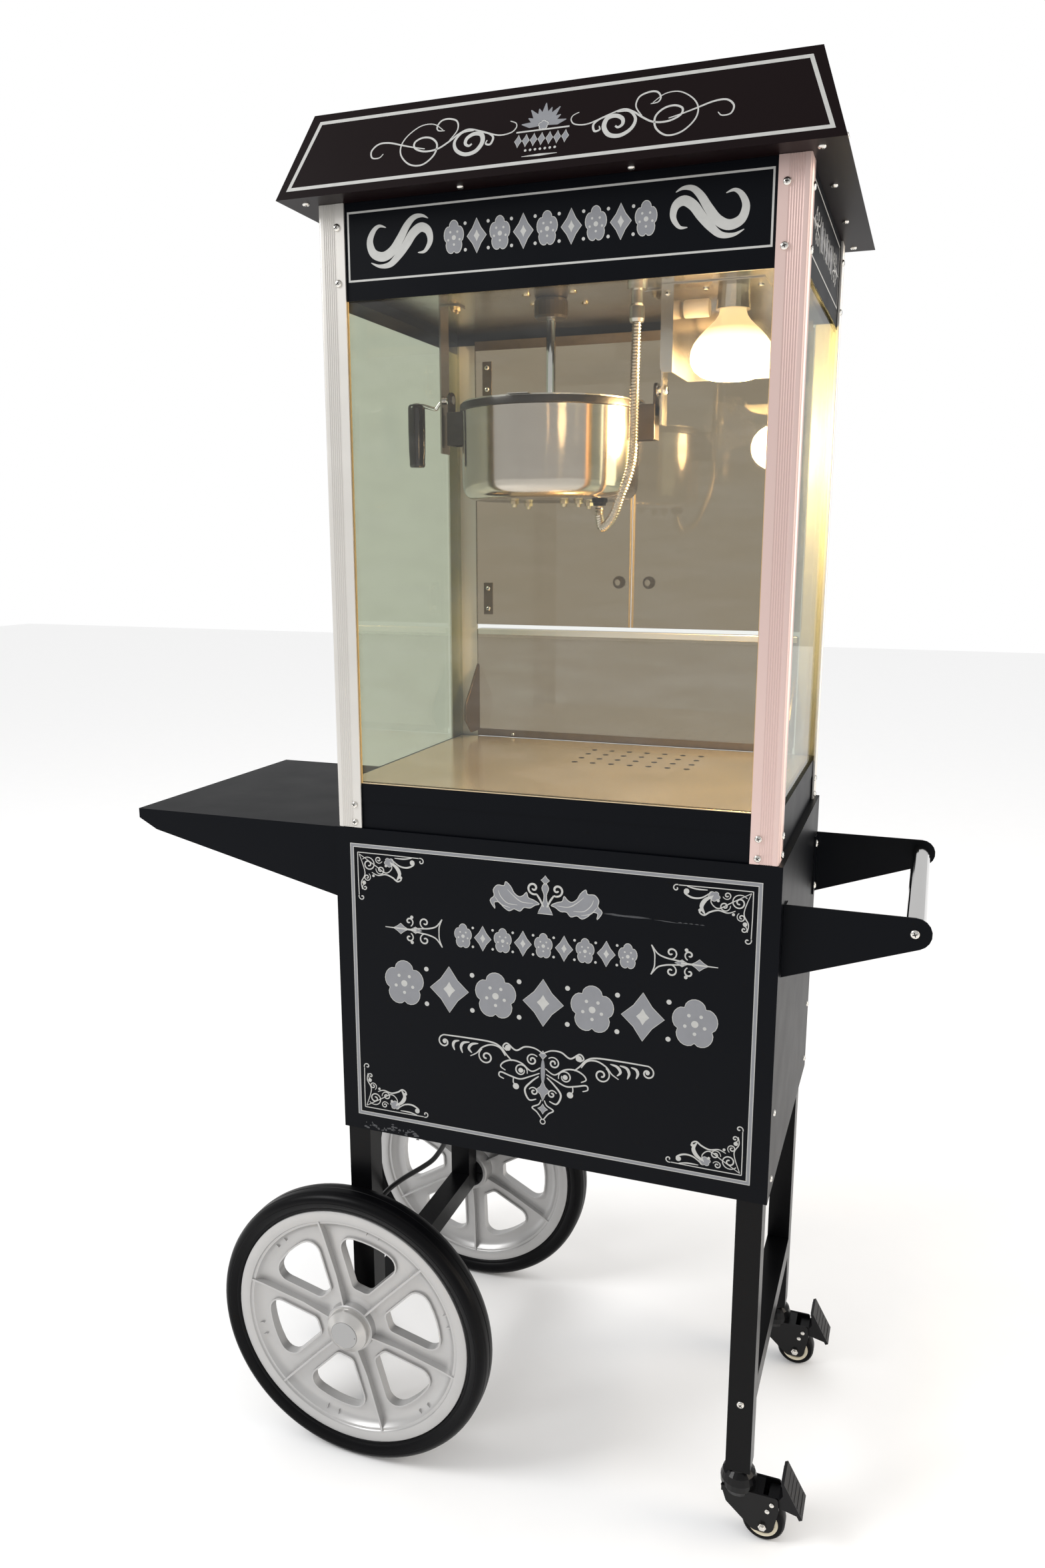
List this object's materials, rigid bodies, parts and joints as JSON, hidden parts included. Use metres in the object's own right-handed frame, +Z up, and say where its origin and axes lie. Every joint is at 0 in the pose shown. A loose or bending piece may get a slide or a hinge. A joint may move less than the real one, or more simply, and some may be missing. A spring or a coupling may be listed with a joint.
{
  "type": "popcorn cart",
  "caption": "Black popcorn machine cart with glass sides, a hanging steel kettle, a hipped roof, two spoked wheels, casters, a side shelf and a push bar.",
  "frame": {"origin": "on the floor, at the middle of the cart's length and depth", "axes": "+X towards the push bar, +Z up, front towards -Y"},
  "size_m": [0.9538, 0.46, 1.586],
  "materials": {
    "powder_black": "satin powder coat",
    "aluminium": "fluted mill finish",
    "wheel_silver": "moulded, silver grey",
    "tyre_black": "semi-gloss",
    "stainless": "polished",
    "chrome": "polished",
    "clear": "clear",
    "acrylic": "clear acrylic",
    "black_plastic": "moulded",
    "ivory": "moulded",
    "cord_rubber": "satin",
    "bulb_glass": "frosted, lit",
    "armour": "corrugated",
    "motor_grey": "matt"
  },
  "bodies": {
    "cart": {"cabinet_shell": "powder_black", "leg_front_left": "powder_black", "leg_front_right": "powder_black", "leg_rear_left": "powder_black", "leg_rear_right": "powder_black", "axle_beam": "powder_black", "leg_tie": "powder_black", "axle_rod": "stainless", "side_shelf": "powder_black", "handle_arm_front": "powder_black", "handle_arm_rear": "powder_black", "push_bar": "chrome", "cord_gland": "black_plastic", "supply_cord": "cord_rubber", "cord_coil": "cord_rubber", "plug": "black_plastic", "plinth": "powder_black", "floor_tray": "stainless", "post_front_left": "aluminium", "post_front_right": "aluminium", "post_rear_left": "aluminium", "post_rear_right": "aluminium", "header_front": "powder_black", "header_left": "powder_black", "header_right": "powder_black", "control_panel": "powder_black", "ceiling_panel": "stainless", "roof_canopy": "powder_black", "glass_front": "clear", "glass_left": "clear", "glass_right": "clear", "gear_motor": "motor_grey", "hanger_left": "stainless", "hanger_right": "stainless", "kettle_cable": "armour", "lamp_bulb": "bulb_glass", "lamp_bracket": "stainless"},
    "wheel_front": {"wheel_rim_front": "wheel_silver", "tyre_front": "tyre_black"},
    "wheel_rear": {"wheel_rim_rear": "wheel_silver", "tyre_rear": "tyre_black"},
    "caster_front": {"caster_fork_front": "powder_black"},
    "caster_rear": {"caster_fork_rear": "powder_black"},
    "caster_roller_front": {"caster_wheel_front": "ivory"},
    "caster_roller_rear": {"caster_wheel_rear": "ivory"},
    "brake_front": {"brake_pedal_front": "black_plastic"},
    "brake_rear": {"brake_pedal_rear": "black_plastic"},
    "kettle": {"kettle": "stainless", "tilt_handle": "black_plastic"},
    "kettle_lid": {"kettle_lid": "stainless"},
    "stirrer": {"stirrer": "stainless"},
    "drive_shaft": {"drive_shaft": "chrome"},
    "door_left": {"door_left": "acrylic"},
    "door_right": {"door_right": "acrylic"},
    "serving_flap": {"serving_flap": "acrylic"},
    "crumb_drawer": {"crumb_drawer": "stainless"},
    "cabinet_door": {"cabinet_door": "powder_black"},
    "switch_kettle_heat": {"switch_kettle_heat": "black_plastic"},
    "switch_stir_motor": {"switch_stir_motor": "black_plastic"},
    "switch_cabinet_lamp": {"switch_cabinet_lamp": "black_plastic"}
  },
  "joints": [
    {"name": "wheel_front_spin", "type": "hinge", "parent": "cart", "child": "wheel_front", "pos_m": [-0.173, -0.2, 0.1835], "axis": [0, 1, 0], "continuous": true},
    {"name": "wheel_rear_spin", "type": "hinge", "parent": "cart", "child": "wheel_rear", "pos_m": [-0.173, 0.2, 0.1835], "axis": [0, 1, 0], "continuous": true},
    {"name": "caster_front_swivel", "type": "hinge", "parent": "cart", "child": "caster_front", "pos_m": [0.309, -0.157, 0.087], "axis": [0, 0, 1], "continuous": true},
    {"name": "caster_rear_swivel", "type": "hinge", "parent": "cart", "child": "caster_rear", "pos_m": [0.309, 0.157, 0.087], "axis": [0, 0, 1], "continuous": true},
    {"name": "caster_front_roll", "type": "hinge", "parent": "caster_front", "child": "caster_roller_front", "pos_m": [0.3405, -0.157, 0.025], "axis": [0, 1, 0], "continuous": true},
    {"name": "caster_rear_roll", "type": "hinge", "parent": "caster_rear", "child": "caster_roller_rear", "pos_m": [0.3405, 0.157, 0.025], "axis": [0, 1, 0], "continuous": true},
    {"name": "brake_front_press", "type": "hinge", "parent": "caster_front", "child": "brake_front", "pos_m": [0.35, -0.157, 0.0565], "axis": [0, 1, 0], "range_deg": [0, 7]},
    {"name": "brake_rear_press", "type": "hinge", "parent": "caster_rear", "child": "brake_rear", "pos_m": [0.35, 0.157, 0.0565], "axis": [0, 1, 0], "range_deg": [0, 7]},
    {"name": "kettle_tilt", "type": "hinge", "parent": "cart", "child": "kettle", "pos_m": [0.012, 0.01, 1.318], "axis": [1, 0, 0], "range_deg": [0, 80], "deforming": ["kettle_cable"]},
    {"name": "kettle_lid_lift", "type": "hinge", "parent": "kettle", "child": "kettle_lid", "pos_m": [0.012, 0.009, 1.3076], "axis": [1, 0, 0], "range_deg": [-60, 0]},
    {"name": "stirrer_spin", "type": "hinge", "parent": "kettle", "child": "stirrer", "pos_m": [0.012, 0.01, 1.312], "axis": [0, 0, 1], "continuous": true},
    {"name": "drive_shaft_spin", "type": "hinge", "parent": "cart", "child": "drive_shaft", "pos_m": [0.012, 0.01, 1.3186], "axis": [0, 0, 1], "continuous": true},
    {"name": "door_left_swing", "type": "hinge", "parent": "cart", "child": "door_left", "pos_m": [-0.1562, 0.1905, 1.221], "axis": [0, 0, 1], "range_deg": [0, 100]},
    {"name": "door_right_swing", "type": "hinge", "parent": "cart", "child": "door_right", "pos_m": [0.2922, 0.1905, 1.221], "axis": [0, 0, 1], "range_deg": [-100, 0]},
    {"name": "serving_flap_tip", "type": "hinge", "parent": "cart", "child": "serving_flap", "pos_m": [0.068, 0.1905, 0.882], "axis": [1, 0, 0], "range_deg": [-60, 0]},
    {"name": "crumb_drawer_slide", "type": "slide", "parent": "cart", "child": "crumb_drawer", "axis": [0, 1, 0], "range_m": [0, 0.25]},
    {"name": "cabinet_door_swing", "type": "hinge", "parent": "cart", "child": "cabinet_door", "pos_m": [-0.178, 0.2058, 0.62975], "axis": [0, 0, 1], "range_deg": [0, 110]},
    {"name": "switch_kettle_heat_rock", "type": "hinge", "parent": "cart", "child": "switch_kettle_heat", "pos_m": [0.128, 0.1845, 1.455], "axis": [1, 0, 0], "range_deg": [-16, 0]},
    {"name": "switch_stir_motor_rock", "type": "hinge", "parent": "cart", "child": "switch_stir_motor", "pos_m": [0.178, 0.1845, 1.455], "axis": [1, 0, 0], "range_deg": [-16, 0]},
    {"name": "switch_cabinet_lamp_rock", "type": "hinge", "parent": "cart", "child": "switch_cabinet_lamp", "pos_m": [0.228, 0.1845, 1.455], "axis": [1, 0, 0], "range_deg": [-16, 0]}
  ],
  "couplings": [
    {"joint": "stirrer_spin", "follows": "drive_shaft_spin", "ratio": 1}
  ]
}
